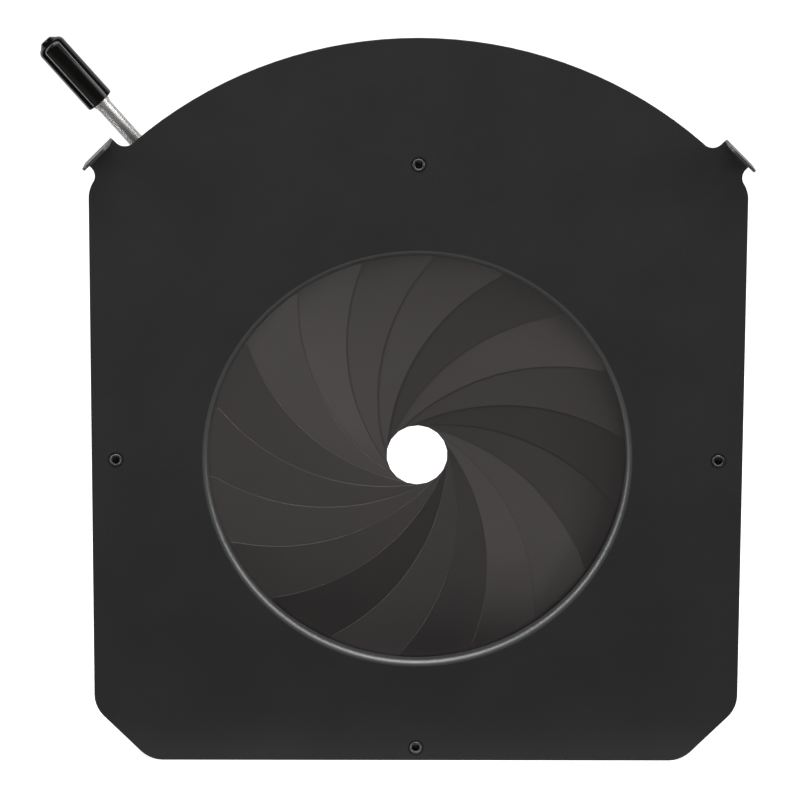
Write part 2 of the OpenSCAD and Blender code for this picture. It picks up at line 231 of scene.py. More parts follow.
# The even grain that a coat, a bluing or a blasted face has.
fine_grain, given, result = effect(
    "fine grain",
    [("Place", VECTOR, None), ("Grain Size", FLOAT, 0.0003), ("Cloud Size", FLOAT, 0.012)],
    ["Grain", "Clouds"],
)
grain = node_of(fine_grain, "ShaderNodeTexNoise", Vector=given["Place"],
                Scale=given["Grain Size"].reckon("POWER", -1.0), Detail=2.0, Roughness=0.55)
clouds = node_of(fine_grain, "ShaderNodeTexNoise", Vector=given["Place"],
                 Scale=given["Cloud Size"].reckon("POWER", -1.0), Detail=4.0, Roughness=0.5)
feed(fine_grain, result.inputs["Grain"], grain)
feed(fine_grain, result.inputs["Clouds"], clouds.ramp(0.3, 0.7))

# Fine rings that a lathe tool leaves round the optical axis. The depth counts too, so that a
# turned wall has them as well as a turned face.
turning_marks, given, result = effect(
    "turning marks",
    [("Place", VECTOR, None), ("Pitch", FLOAT, 0.0001)],
    ["Marks"],
)
(depth,) = given["Place"].along("Y")
tool_path = given["Place"].from_axis() + depth * 0.7
marks = node_of(turning_marks, "ShaderNodeTexNoise", settings={"noise_dimensions": "1D"},
                W=tool_path / given["Pitch"], Detail=2.0)
feed(turning_marks, result.inputs["Marks"], marks.ramp(0.3, 0.7))


def finish_of(name, **constants):
    """A material with the shader's own constants set. Gives it, its tree and its shader."""
    finish = bpy.data.materials.new(name)
    finish.use_nodes = True
    tree = finish.node_tree
    shader = tree.nodes["Principled BSDF"]
    for key, value in constants.items():
        shader.inputs[key.replace("_", " ")].default_value = value
    place = node_of(tree, "ShaderNodeTexCoord", output=OBJECT_PLACE)
    return finish, tree, shader, place


def blend_colour(tree, share, first, second):
    node = tree.nodes.new("ShaderNodeMix")
    node.data_type = "RGBA"
    feed(tree, node.inputs[0], share)
    for slot, value in ((node.inputs[6], first), (node.inputs[7], second)):
        feed(tree, slot, value if isinstance(value, Wire) else (*value, 1.0))
    return Wire(tree, node.outputs[2])


def relief(tree, shader, height, depth, strength=1.0):
    bump = node_of(tree, "ShaderNodeBump", Height=height, Distance=depth, Strength=strength)
    feed(tree, shader.inputs["Normal"], bump)


def attribute(tree, name):
    settings = {"attribute_name": name}
    return node_of(tree, "ShaderNodeAttribute", output=ATTRIBUTE_VALUE, settings=settings)


def rubbed_edge(tree, place, patch_size, cover):
    """The mask of the bare patches on a finish's broken edges."""
    placed = place_effect(tree, edge_rub, Place=place, Edge=attribute(tree, "edge"),
                          Patch_Size=patch_size, Cover=cover)
    return placed["Mask"]


blackened, tree, shader, place = finish_of("blackened turned steel", Metallic=0.85)
marks = place_effect(tree, turning_marks, Place=place, Pitch=0.00009)["Marks"]
cloudy = place_effect(tree, fine_grain, Place=place, Grain_Size=0.0002, Cloud_Size=0.009)
rubbed = rubbed_edge(tree, place, 0.0015, 0.7)
tone = blend_colour(tree, cloudy["Clouds"], (0.050, 0.048, 0.047), (0.080, 0.077, 0.074))
tone = blend_colour(tree, marks * 0.35, tone, (0.11, 0.108, 0.104))
feed(tree, shader.inputs["Base Color"], blend_colour(tree, rubbed, tone, (0.34, 0.33, 0.31)))
feed(tree, shader.inputs["Roughness"], marks * 0.14 + 0.36)
relief(tree, shader, marks + cloudy["Grain"] * 0.4, 0.00002)

base_ring = finished_copy("base_ring", 0.00014)
fitted(base_ring, blackened, "frame", "base_ring")

# --- Front plate ---------------------------------------------------------------------------
# The pressed steel sheet with the arched top, two bent finger tabs and a lip drawn round the
# light opening. Fine matt black powder coat, thinner on the cut edges and burnished on the lip;
# the tabs carry a painted highlight.

# The tabs stand out past the arch. The lip's bend starts at the radius BEND_R and turns round
# the depth BEND_Y, with an outer and an inner radius. Its wall runs straight back to y = 0.
ARCH_R, LIP_TOP_R = 0.0902, 0.0454
BEND_R, BEND_Y, BEND_OUT, BEND_IN = 0.04535, -0.00175, 0.00125, 0.00065
BEND_STEPS, BEND_SLACK = 12, 0.00001

coat, tree, shader, place = finish_of(
    "powder coat", Specular_IOR_Level=0.17, Coat_Roughness=0.42, Coat_IOR=1.75
)
from_axis = place.from_axis()
# The tabs past the arch are painted lighter and slightly mauve: a painted highlight where they
# face the lamp overhead. They also get half a coat.
painted_tab_highlight = from_axis.ramp(ARCH_R + 0.002, ARCH_R + 0.0045)
lip = from_axis.ramp(LIP_TOP_R - 0.00025, LIP_TOP_R + 0.00005, 1.0, 0.0)
cloudy = place_effect(tree, fine_grain, Place=place, Grain_Size=0.00022, Cloud_Size=0.018)
rubbed = rubbed_edge(tree, place, 0.003, 0.35)
tone = blend_colour(tree, cloudy["Clouds"], (0.0162, 0.0162, 0.0162), (0.0186, 0.0186, 0.0185))
tone = blend_colour(tree, cloudy["Grain"].ramp(0.66, 0.8) * 0.5, tone, (0.045, 0.045, 0.045))
# Painted highlight: half the lighter tone on the tabs.
tone = blend_colour(tree, painted_tab_highlight * 0.5, tone, (0.040, 0.037, 0.038))
tone = blend_colour(tree, rubbed, tone, (0.09, 0.08, 0.075))
feed(tree, shader.inputs["Base Color"], tone)
feed(tree, shader.inputs["Roughness"], cloudy["Grain"] * 0.16 + 0.52)
feed(tree, shader.inputs["Coat Weight"], lip.reckon("MAXIMUM", painted_tab_highlight * 0.5))
relief(tree, shader, cloudy["Grain"], 0.00003, 0.6)


def relay_lip(work):
    """Lays the drawn lip again in even rows from the sheet's two faces, to shade smoothly."""
    def reach(vert):
        return math.hypot(vert.co.x, vert.co.z)

    def around(vert):
        return math.atan2(vert.co.z, vert.co.x)

    old = [f for f in work.faces if all(reach(v) < BEND_R + BEND_SLACK for v in f.verts)]
    bmesh.ops.delete(work, geom=old, context="FACES")
    rims = []
    # The front face and the back face of the sheet now end in one open row each.
    middle = BEND_Y - (BEND_OUT + BEND_IN) / 2
    open_verts = [v for v in work.verts if v.is_boundary]
    rows = [[v for v in open_verts if (v.co.y < middle) == in_front] for in_front in (True, False)]
    for bend, row in zip((BEND_OUT, BEND_IN), rows):
        row.sort(key=around)
        for step in range(1, BEND_STEPS + 2):
            turn = math.pi / 2 * min(step / BEND_STEPS, 1)
            depth = BEND_Y - bend * math.cos(turn) if step <= BEND_STEPS else 0.0
            share = BEND_R - bend * math.sin(turn)
            below = [
                work.verts.new((v.co.x / reach(v) * share, depth, v.co.z / reach(v) * share))
                for v in row
            ]
            for i, vert in enumerate(row):
                work.faces.new((vert, row[i - 1], below[i - 1], below[i]))
            row = below
        rims.append(row)
    # The rim joins two rows that don't have the same number of places.
    front, back = rims
    ahead = [[around(v) for v in row[1:]] + [math.inf, math.inf] for row in rims]
    i = j = 0
    while i < len(front) or j < len(back):
        if j == len(back) or (i < len(front) and ahead[0][i] <= ahead[1][j]):
            work.faces.new((front[i], front[(i + 1) % len(front)], back[j % len(back)]))
            i += 1
        else:
            work.faces.new((front[i % len(front)], back[(j + 1) % len(back)], back[j]))
            j += 1
    bmesh.ops.recalc_face_normals(work, faces=work.faces)


front_plate = finished_copy("front_plate", 0.0001, reshape=relay_lip)
fitted(front_plate, coat, "frame", "front_plate")

# --- Rivets --------------------------------------------------------------------------------
# Four semi-tubular steel rivets hold the sheet to the base ring. The hollow end is rolled over
# in a countersink of the sheet, the flat head lies behind the ring.

FASTENER_R = 0.0635
SHEET_BACK, RING_BACK = -0.0024, 0.0001
RIVET_R, RIVET_HOLLOW_R, ROLL_R, ROLL_HEIGHT = 0.00105, 0.0008, 0.0003, 0.0004
RIVET_HEAD_R, RIVET_HEAD_T, HEAD_EDGE = 0.0018, 0.0005, 0.0001
ROLL_START, HOLLOW_MOUTH, HOLLOW_DEEP, HOLLOW_CONE, HOLLOW_TIP = (
    0.00008, 0.0002, 0.0011, 0.0013, 0.00135
)


def turned(name, profile, sides, out_of=Vector((0, -1, 0))):
    """Turns a closed profile of (radius, height) round an axis through the origin."""
    work = bmesh.new()
    spin = Vector((0, 0, 1)).rotation_difference(out_of).to_matrix()
    rows = []
    for radius, height in profile:
        if radius == 0:
            rows.append([work.verts.new(spin @ Vector((0, 0, height)))])
        else:
            rows.append([
                work.verts.new(spin @ Vector((
                    radius * math.cos(2 * math.pi * i / sides),
                    radius * math.sin(2 * math.pi * i / sides), height)))
                for i in range(sides)
            ])
    closed = profile[0][0] != 0
    pairs = zip(rows, rows[1:] + rows[:1]) if closed else zip(rows, rows[1:])
    for low, high in pairs:
        for i in range(sides):
            j = (i + 1) % sides
            corners = [low[i % len(low)], low[j % len(low)],
                       high[j % len(high)], high[i % len(high)]]
            work.faces.new([c for n, c in enumerate(corners) if c not in corners[:n]])
    bmesh.ops.recalc_face_normals(work, faces=work.faces)
    return into_object(work, name)


def arc(radius, height, r, start, end, steps):
    """Points of a profile on an arc round (radius, height), from start to end in degrees."""
    return [
        (radius + r * math.cos(math.radians(start + (end - start) * i / steps)),
         height + r * math.sin(math.radians(start + (end - start) * i / steps)))
        for i in range(steps + 1)
    ]


def maker(name, takes):
    """A geometry tree with named inputs. Gives it, its inputs' identifiers and its inputs."""
    tree = bpy.data.node_groups.new(name, "GeometryNodeTree")
    tree.is_modifier = True
    sockets = {
        label: tree.interface.new_socket(label, in_out="INPUT", socket_type=kind).identifier
        for label, kind in takes
    }
    tree.interface.new_socket("Made", in_out="OUTPUT", socket_type=GEOMETRY)
    return tree, sockets, inputs_of(tree)


def close_maker(tree, geometry, finish):
    """Ends a geometry tree: real meshes, with their finish on."""
    real = node_of(tree, "GeometryNodeRealizeInstances", Geometry=geometry)
    clad = node_of(tree, "GeometryNodeSetMaterial", Geometry=real, Material=finish)
    feed(tree, tree.nodes.new("NodeGroupOutput").inputs[0], clad)


def made_by(tree, sockets, host, **values):
    """Runs a geometry tree on an object and keeps what it makes as a plain mesh."""
    tree_on = host.modifiers.new("maker", "NODES")
    tree_on.node_group = tree
    for label, value in values.items():
        tree_on[sockets[label.replace("_", " ")]] = value
    return as_plain_mesh(host, host.name)


# Sets one fastener on every point it is given, each turned by chance as a driven one is.
fastening, fastening_takes, given = maker("fasteners on points", [
    ("Points", GEOMETRY), ("Fastener", OBJECT), ("Finish", MATERIAL), ("Size", FLOAT),
    ("Chance Turn", FLOAT), ("Chance Seed", INTEGER),
])
unit = node_of(fastening, "GeometryNodeObjectInfo", output=OBJECT_GEOMETRY,
               Object=given["Fastener"])
chance = node_of(fastening, "FunctionNodeRandomValue", output=RANDOM_FLOAT,
                 Seed=given["Chance Seed"])
turn = node_of(fastening, "ShaderNodeCombineXYZ", Y=chance * given["Chance Turn"])
placed = node_of(fastening, "GeometryNodeInstanceOnPoints", Points=given["Points"], Instance=unit,
                 Rotation=turn, Scale=given["Size"])
close_maker(fastening, placed, given["Finish"])


def fasten(name, unit, finish, places, seed):
    """Puts copies of one fastener at the places and makes them one plain mesh."""
    points = bpy.data.meshes.new(name)
    points.from_pydata(places, [], [])
    return made_by(fastening, fastening_takes, linked(name, points), Fastener=unit,
                   Finish=finish, Size=1.0, Chance_Turn=2 * math.pi, Chance_Seed=seed)


def round_the_axis(radius, depth, angles):
    angles = [math.radians(a) for a in angles]
    return [(radius * math.cos(a), depth, radius * math.sin(a)) for a in angles]


rivet_steel, tree, shader, place = finish_of("blackened rivet steel", Metallic=0.8)
cloudy = place_effect(tree, fine_grain, Place=place, Grain_Size=0.00012, Cloud_Size=0.001)
tone = blend_colour(tree, cloudy["Clouds"], (0.035, 0.036, 0.038), (0.10, 0.10, 0.105))
feed(tree, shader.inputs["Base Color"], tone)
feed(tree, shader.inputs["Roughness"], cloudy["Grain"] * 0.3 + 0.2)
relief(tree, shader, cloudy["Grain"], 0.00003)

shank = RING_BACK - SHEET_BACK
head_back = -shank - RIVET_HEAD_T
rivet = turned("rivet", [
    (0, head_back), (RIVET_HEAD_R - HEAD_EDGE, head_back), (RIVET_HEAD_R, head_back + HEAD_EDGE),
    (RIVET_HEAD_R, -shank), (RIVET_R, -shank), (RIVET_R, ROLL_START),
    *arc(RIVET_R + 0.00002, ROLL_HEIGHT, ROLL_R, -60, 170, 12),
    (RIVET_HOLLOW_R, HOLLOW_MOUTH), (RIVET_HOLLOW_R, -HOLLOW_DEEP),
    (RIVET_HOLLOW_R * 0.6, -HOLLOW_CONE), (0, -HOLLOW_TIP),
], 48)
rivet_places = round_the_axis(FASTENER_R, SHEET_BACK, (0, 90, 180, 270))
rivets = fasten("rivets", rivet, rivet_steel, rivet_places, 3)
bpy.data.objects.remove(rivet)
fitted(rivets, None, "frame", "plate_rivets")

# --- Leaves --------------------------------------------------------------------------------
# Eighteen thin leaves blanked from rolled spring steel and blued. Each climbs like a helix
# over its neighbours, so all of them lie on each other all round without touching.

LEAF_COUNT = 18
STUD_CIRCLE_R, LEAF_IN_R, LEAF_OUT_R = 0.056, 0.0454, 0.0595
PAD_R, APERTURE_R = 0.0035, 0.00635
LEAF_T, LEAF_GAP, LEAF_Y, LEAF_EDGE = 0.0001, 0.00004, 0.00015, 0.00002
LEAF_STATIONS, BLUING_SEED = 72, 5
FIRST_PIVOT = 8.5
LEAF_SHIFT = LEAF_IN_R - APERTURE_R
LEAF_SWING = 2 * math.asin(LEAF_SHIFT / (2 * STUD_CIRCLE_R))
STUD_SPAN = math.pi - LEAF_SWING
TOUCH_AT = math.pi / 2 - LEAF_SWING / 2

# A leaf's section has SECTION corners. Its round end widens into the blade within END_SWEEP,
# its climb is level within LEVEL_SWEEP of its studs, and CROWDING of the spacing of its
# stations is given to its ends. No station is narrower than twice TIP_HALF.
SECTION, CROWDING, TIP_HALF = 8, 0.45, 0.0003
END_SWEEP, LEVEL_SWEEP = math.radians(9), math.radians(2)


def pivot_angle(number):
    """Where a leaf's front stud stands on the stud circle."""
    return math.radians(FIRST_PIVOT + 360 / LEAF_COUNT * number)


blade, blade_takes, given = maker("leaf", [
    ("Geometry", GEOMETRY), ("Pivot Angle", FLOAT), ("Leaves", FLOAT),
    ("Stud Circle Radius", FLOAT), ("Inner Radius", FLOAT), ("Outer Radius", FLOAT),
    ("Pad Radius", FLOAT), ("Shift", FLOAT), ("Thickness", FLOAT), ("Air", FLOAT),
    ("Front", FLOAT), ("Edge Round", FLOAT), ("Stations", INTEGER), ("Leaf Number", INTEGER),
    ("Bluing Seed", INTEGER), ("Finish", MATERIAL),
])
strip = node_of(blade, "GeometryNodeMeshCylinder", settings={"fill_type": "NGON"},
                Vertices=SECTION, Side_Segments=given["Stations"], Radius=1.0, Depth=1.0)
index = node_of(blade, "GeometryNodeInputIndex")
station = (index / SECTION).reckon("FLOOR")
corner = index - station * SECTION

swing = (given["Shift"] / (given["Stud Circle Radius"] * 2.0)).reckon("ARCSINE") * 2.0
span = swing * -1.0 + math.pi
touch = swing * -0.5 + math.pi / 2
pad_reach = given["Pad Radius"] / given["Stud Circle Radius"]
# Stations crowd together over the round ends, as the cosine of their share does.
share = station / given["Stations"]
eased = (share * math.pi).reckon("COSINE") * -0.5 + 0.5
eased = eased * CROWDING + share * (1 - CROWDING)
psi = eased * (span + pad_reach * 2.0) - pad_reach
from_end = psi.reckon("MINIMUM", span - psi)
widening = from_end.ramp(0.0, END_SWEEP)
past_end = (from_end * given["Stud Circle Radius"]).reckon("MINIMUM", 0.0)
pad_half = given["Pad Radius"] * given["Pad Radius"] - past_end * past_end
pad_half = pad_half.reckon("MAXIMUM", TIP_HALF ** 2).reckon("SQRT")
narrow = widening * -1.0 + 1.0
inner = (given["Stud Circle Radius"] - pad_half) * narrow + given["Inner Radius"] * widening
outer = (given["Stud Circle Radius"] + pad_half) * narrow + given["Outer Radius"] * widening

# The climb follows the crossing with the neighbouring leaves.
ecc = given["Shift"] / given["Inner Radius"]
root = (ecc * ecc * -1.0 + 1.0).reckon("SQRT")
steep = ((ecc + 1.0) / (ecc * -1.0 + 1.0)).reckon("SQRT")
pitch = given["Leaves"].reckon("POWER", -1.0) * (2 * math.pi)


def climb(angle):
    """How far back a leaf lies at an angle from its front stud."""
    held = angle.reckon("MAXIMUM", LEVEL_SWEEP).reckon("MINIMUM", span - LEVEL_SWEEP) - touch
    turns = ((held * 0.5).reckon("TANGENT") * steep).reckon("ARCTANGENT")
    return turns * 2.0 / root / pitch * (given["Thickness"] + given["Air"])


rise = climb(psi) - climb(psi * 0.0)


def chosen(values):
    """Picks one of the wires by the number of the section's corner."""
    total = None
    for number, value in enumerate(values):
        part = corner.reckon("COMPARE", float(number), 0.25) * value
        total = part if total is None else total + part
    return total


rounding = given["Edge Round"]
back = given["Thickness"]
level = back * 0.0
radius = chosen([inner + rounding, outer - rounding, outer, outer,
                 outer - rounding, inner + rounding, inner, inner])
deep = chosen([level, level, rounding, back - rounding, back, back, back - rounding, rounding])
centre = given["Pivot Angle"] - touch
lie = psi + given["Pivot Angle"] + swing
spot = node_of(
    blade, "ShaderNodeCombineXYZ",
    X=centre.reckon("COSINE") * given["Shift"] + lie.reckon("COSINE") * radius,
    Y=given["Front"] + rise + deep,
    Z=centre.reckon("SINE") * given["Shift"] + lie.reckon("SINE") * radius,
)
shaped = node_of(blade, "GeometryNodeSetPosition", Geometry=strip, Position=spot)


def stored(geometry, name, value, kind, domain):
    return node_of(blade, "GeometryNodeStoreNamedAttribute", Geometry=geometry, Name=name,
                   settings={"data_type": kind, "domain": domain}, Value=value)


# Rolled lengthwise: the grain runs the same way through every blank. A metre of blank is
# PER_METRE wide on the grain's map.
PER_METRE, FACES_THE_AXIS = 10.0, 0.9
flat_place = node_of(blade, "ShaderNodeCombineXYZ",
                     X=psi.reckon("COSINE") * radius * PER_METRE + 0.5,
                     Y=psi.reckon("SINE") * radius * PER_METRE)
flat_place = node_of(blade, "GeometryNodeFieldOnDomain", Value=flat_place,
                     settings={"data_type": "FLOAT_VECTOR", "domain": "POINT"})
shaped = stored(shaped, "grain", flat_place, "FLOAT2", "CORNER")
(facing,) = node_of(blade, "GeometryNodeInputNormal").along("Y")
on_edge = facing.reckon("ABSOLUTE").reckon("LESS_THAN", FACES_THE_AXIS)
shaped = stored(shaped, "edge", on_edge, "FLOAT", "FACE")
bluing = node_of(blade, "FunctionNodeRandomValue", output=RANDOM_FLOAT, ID=given["Leaf Number"],
                 Seed=given["Bluing Seed"])
shaped = stored(shaped, "bluing", bluing, "FLOAT", "POINT")
close_maker(blade, shaped, given["Finish"])

leaf_steel, tree, shader, place = finish_of(
    "blued spring steel", Metallic=1.0, Anisotropic=0.85, Anisotropic_Rotation=0.09
)
cloudy = place_effect(tree, fine_grain, Place=place, Grain_Size=0.0003, Cloud_Size=0.014)
rubbed = rubbed_edge(tree, place, 0.006, 0.6)
blued = attribute(tree, "bluing")
tone = blend_colour(tree, blued, (0.084, 0.0755, 0.076), (0.160, 0.144, 0.145))
tone = blend_colour(tree, cloudy["Clouds"] * 0.25, tone, (0.120, 0.105, 0.100))
tone = blend_colour(tree, rubbed, tone, (0.12, 0.113, 0.108))
feed(tree, shader.inputs["Base Color"], tone)
feed(tree, shader.inputs["Roughness"], cloudy["Clouds"] * 0.02 + 0.36)
tangent = node_of(tree, "ShaderNodeTangent",
                  settings={"direction_type": "UV_MAP", "uv_map": "grain"})
feed(tree, shader.inputs["Tangent"], tangent)

for number in range(LEAF_COUNT):
    name = f"leaf_{number + 1:02d}"
    leaf = linked(name + "_blade", bpy.data.meshes.new(name + "_blade"))
    made_by(
        blade, blade_takes, leaf, Pivot_Angle=pivot_angle(number), Leaves=float(LEAF_COUNT),
        Stud_Circle_Radius=STUD_CIRCLE_R, Inner_Radius=LEAF_IN_R, Outer_Radius=LEAF_OUT_R,
        Pad_Radius=PAD_R, Shift=LEAF_SHIFT, Thickness=LEAF_T, Air=LEAF_GAP, Front=LEAF_Y,
        Edge_Round=LEAF_EDGE, Stations=LEAF_STATIONS, Leaf_Number=number,
        Bluing_Seed=BLUING_SEED, Finish=leaf_steel,
    )
    shade(leaf.data)
    fitted(leaf, None, f"iris_leaf_{number + 1:02d}", name)

# --- Leaf studs ----------------------------------------------------------------------------
# Two turned brass studs are staked on each leaf. The front one turns in the base ring, the
# rear one runs in a slot of the cam ring.

STUD_R = 0.0008
CAM_Y, CAM_T = 0.0040176, 0.0015
RUNNING_GAP, END_GAP = 0.00005, 0.0001

stud_brass, tree, shader, place = finish_of("turned brass", Metallic=1.0)
cloudy = place_effect(tree, fine_grain, Place=place, Grain_Size=0.0001, Cloud_Size=0.0012)
tone = blend_colour(tree, cloudy["Clouds"], (0.42, 0.31, 0.14), (0.58, 0.45, 0.23))
feed(tree, shader.inputs["Base Color"], tone)
feed(tree, shader.inputs["Roughness"], cloudy["Grain"] * 0.2 + 0.2)


def stud(name, length):
    """A stud from its seat on the leaf to its chamfered end, with a dimple in the end."""
    return turned(name, [
        (0, 0), (STUD_R, 0), (STUD_R, length - 0.0002), (STUD_R - 0.00005, length - 0.00012),
        (STUD_R - 0.0002, length), (0.0002, length), (0, length - 0.0001),
    ], 32)


pivot_stud = stud("pivot_stud", LEAF_Y - (SHEET_BACK + END_GAP))
cam_stud = stud("cam_stud", RUNNING_GAP + CAM_T - END_GAP)
cam_stud.data.transform(Matrix.Rotation(math.pi, 4, "X"))
for number in range(LEAF_COUNT):
    name = f"leaf_studs_{number + 1:02d}"
    pivot = pivot_angle(number)
    far = pivot + LEAF_SWING + STUD_SPAN
    middle = Vector((math.cos(pivot - TOUCH_AT), 0, math.sin(pivot - TOUCH_AT))) * LEAF_SHIFT
    at_pivot = Vector((STUD_CIRCLE_R * math.cos(pivot), LEAF_Y, STUD_CIRCLE_R * math.sin(pivot)))
    at_cam = middle + Vector((math.cos(far), 0, math.sin(far))) * STUD_CIRCLE_R
    at_cam.y = CAM_Y - RUNNING_GAP
    front = fasten(name + "_front", pivot_stud, stud_brass, [at_pivot], number)
    rear = fasten(name + "_turned", cam_stud, stud_brass, [at_cam], number)
    both = bmesh.new()
    both.from_mesh(front.data)
    both.from_mesh(rear.data)
    both.to_mesh(rear.data)
    both.free()
    bpy.data.objects.remove(front)
    fitted(rear, None, f"iris_leaf_{number + 1:02d}", name)
for unit in (pivot_stud, cam_stud):
    bpy.data.objects.remove(unit)

# --- Cam ring ------------------------------------------------------------------------------
# The turning ring behind the leaves, with a straight slot for each rear stud and a boss that
# the lever is pressed into. Steel, milled and blackened.

cam_ring = finished_copy("cam_ring", 0.0001)
fitted(cam_ring, blackened, "actuator", "cam_ring")

# --- Housing -------------------------------------------------------------------------------
# The machined cup that closes the mechanism at the back and carries the cam ring on its hub.
# Cast aluminium, turned, and painted matt black against stray light.

housing_paint, tree, shader, place = finish_of("matt black paint", Specular_IOR_Level=0.3)
cloudy = place_effect(tree, fine_grain, Place=place, Grain_Size=0.0003, Cloud_Size=0.010)
marks = place_effect(tree, turning_marks, Place=place, Pitch=0.0002)["Marks"]
rubbed = rubbed_edge(tree, place, 0.002, 0.55)
tone = blend_colour(tree, cloudy["Clouds"], (0.014, 0.014, 0.0145), (0.022, 0.022, 0.022))
feed(tree, shader.inputs["Base Color"], blend_colour(tree, rubbed, tone, (0.12, 0.12, 0.12)))
feed(tree, shader.inputs["Roughness"], cloudy["Grain"] * 0.2 + 0.5)
relief(tree, shader, cloudy["Grain"] + marks * 0.8, 0.00003, 0.7)

housing = finished_copy("housing", 0.00018)
fitted(housing, housing_paint, "frame", "housing")

# --- Housing screws ------------------------------------------------------------------------
# Four countersunk hexagon socket screws from the back of the housing into the base ring,
# black oxide on steel.

SCREW_R, SCREW_HEAD_R, HEX_R, HEX_DEEP, SCREW_SIDES = 0.001, 0.0019, 0.00075, 0.0007, 48
HOUSING_BACK = 0.0068176

black_oxide, tree, shader, place = finish_of("black oxide", Metallic=0.9)
cloudy = place_effect(tree, fine_grain, Place=place, Grain_Size=0.0001, Cloud_Size=0.0009)
tone = blend_colour(tree, cloudy["Clouds"], (0.035, 0.035, 0.036), (0.075, 0.074, 0.075))
feed(tree, shader.inputs["Base Color"], tone)
feed(tree, shader.inputs["Roughness"], cloudy["Grain"] * 0.25 + 0.25)


def socket_screw(name, length):
    """Countersunk screw with its head's face at the origin and a hexagon socket in it."""
    work = bmesh.new()
    cone = SCREW_HEAD_R - SCREW_R
    half_side = math.pi / 6

    def ring(radius, depth, hexed=False):
        made = []
        for i in range(SCREW_SIDES):
            a = 2 * math.pi * i / SCREW_SIDES
            r = radius
            if hexed:
                r = radius * math.cos(half_side) / math.cos(a % (2 * half_side) - half_side)
            made.append(work.verts.new((r * math.cos(a), -depth, r * math.sin(a))))
        return made

    rings = [
        ring(HEX_R, HEX_DEEP, True), ring(HEX_R, 0.00004, True), ring(HEX_R * 1.06, 0, True),
        ring(SCREW_HEAD_R - 0.00006, 0), ring(SCREW_HEAD_R, 0.00006), ring(SCREW_R, cone),
        ring(SCREW_R, length - 0.0003), ring(SCREW_R - 0.0003, length),
    ]
    floor = work.verts.new((0, -HEX_DEEP - 0.0002, 0))
    tip = work.verts.new((0, -length, 0))
    for low, high in zip(rings, rings[1:]):
        for i in range(SCREW_SIDES):
            j = (i + 1) % SCREW_SIDES
            work.faces.new((low[i], low[j], high[j], high[i]))
    for i in range(SCREW_SIDES):
        j = (i + 1) % SCREW_SIDES
        work.faces.new((rings[0][j], rings[0][i], floor))
        work.faces.new((rings[-1][i], rings[-1][j], tip))
    bmesh.ops.recalc_face_normals(work, faces=work.faces)
    return into_object(work, name)


screw = socket_screw("screw", HOUSING_BACK - SHEET_BACK - END_GAP)
screw_places = round_the_axis(FASTENER_R, HOUSING_BACK, (22.5, 157.5, 225, 315))
screws = fasten("screws", screw, black_oxide, screw_places, 11)
bpy.data.objects.remove(screw)
fitted(screws, None, "frame", "housing_screws")

# --- Lever rod -----------------------------------------------------------------------------
# Bright drawn steel rod, pressed into the cam ring's boss, with a swaged shoulder that the
# knob is pushed up against.

LEVER_ANGLE = math.radians(131.35)
ROD_R, ROD_START, KNOB_START, KNOB_SOCKET = 0.0016, 0.06125, 0.1004, 0.008
ROD_Y = CAM_Y + CAM_T / 2
along_lever = Vector((math.cos(LEVER_ANGLE), 0, math.sin(LEVER_ANGLE)))


def on_lever(piece):
    """Moves a piece from the plane y = 0 back to the middle of the cam ring."""
    piece.data.transform(Matrix.Translation((0, ROD_Y, 0)))
    return piece


bright_rod, tree, shader, place = finish_of("bright drawn steel", Metallic=1.0)
# Drawing lines run along the lever.
lengthwise = node_of(tree, "ShaderNodeMapping", Vector=place, Rotation=(0, LEVER_ANGLE, 0),
                     Scale=(60.0, 5000.0, 5000.0))
drawn = node_of(tree, "ShaderNodeTexNoise", Vector=lengthwise, Scale=1.0, Detail=3.0)
cloudy = place_effect(tree, fine_grain, Place=place, Grain_Size=0.00025, Cloud_Size=0.004)
tone = blend_colour(tree, cloudy["Clouds"], (0.42, 0.41, 0.395), (0.50, 0.49, 0.475))
feed(tree, shader.inputs["Base Color"], tone)
feed(tree, shader.inputs["Roughness"], drawn * 0.04 + 0.42)

SHOULDER_R = ROD_R + 0.0004
rod_end = KNOB_START + KNOB_SOCKET
rod = turned("rod", [
    (0, ROD_START), (ROD_R - 0.0001, ROD_START), (ROD_R, ROD_START + 0.0001),
    (ROD_R, KNOB_START - 0.0013), (ROD_R + 0.0001, KNOB_START - 0.0009),
    (SHOULDER_R, KNOB_START - 0.0001), (SHOULDER_R, KNOB_START), (ROD_R, KNOB_START),
    (ROD_R, rod_end), (0, rod_end),
], 64, along_lever)
fitted(on_lever(rod), bright_rod, "actuator", "lever_rod")

# --- Lever knob ----------------------------------------------------------------------------
# Glossy black knob, moulded in a closed mould with a small pip left at its tip, and pushed
# on to the end of the rod.

KNOB_R, KNOB_LEN, KNOB_ROUND, KNOB_EDGE = 0.00305, 0.0163, 0.0015, 0.0004
PIP_R, PIP_LEN, PIP_ROUND = 0.0013, 0.0008, 0.0004

gloss_black, tree, shader, place = finish_of("gloss black plastic", Specular_IOR_Level=0.22)
cloudy = place_effect(tree, fine_grain, Place=place, Grain_Size=0.0005, Cloud_Size=0.006)
tone = blend_colour(tree, cloudy["Clouds"], (0.0022, 0.0022, 0.0022), (0.0040, 0.0038, 0.0034))
feed(tree, shader.inputs["Base Color"], tone)
feed(tree, shader.inputs["Roughness"], cloudy["Clouds"] * 0.03 + 0.09)
relief(tree, shader, cloudy["Grain"], 0.000004)

tip = KNOB_START + KNOB_LEN
knob = turned("knob", [
    (0, rod_end), (ROD_R, rod_end), (ROD_R, KNOB_START),
    *arc(KNOB_R - KNOB_EDGE, KNOB_START + KNOB_EDGE, KNOB_EDGE, -90, 0, 6),
    *arc(KNOB_R - KNOB_ROUND, tip - KNOB_ROUND, KNOB_ROUND, 0, 66, 12),
    *arc(PIP_R - 0.0003, tip + PIP_LEN - PIP_ROUND, PIP_ROUND, 35, 80, 5), (0, tip + PIP_LEN),
], 96, along_lever)
fitted(on_lever(knob), gloss_black, "actuator", "lever_knob")

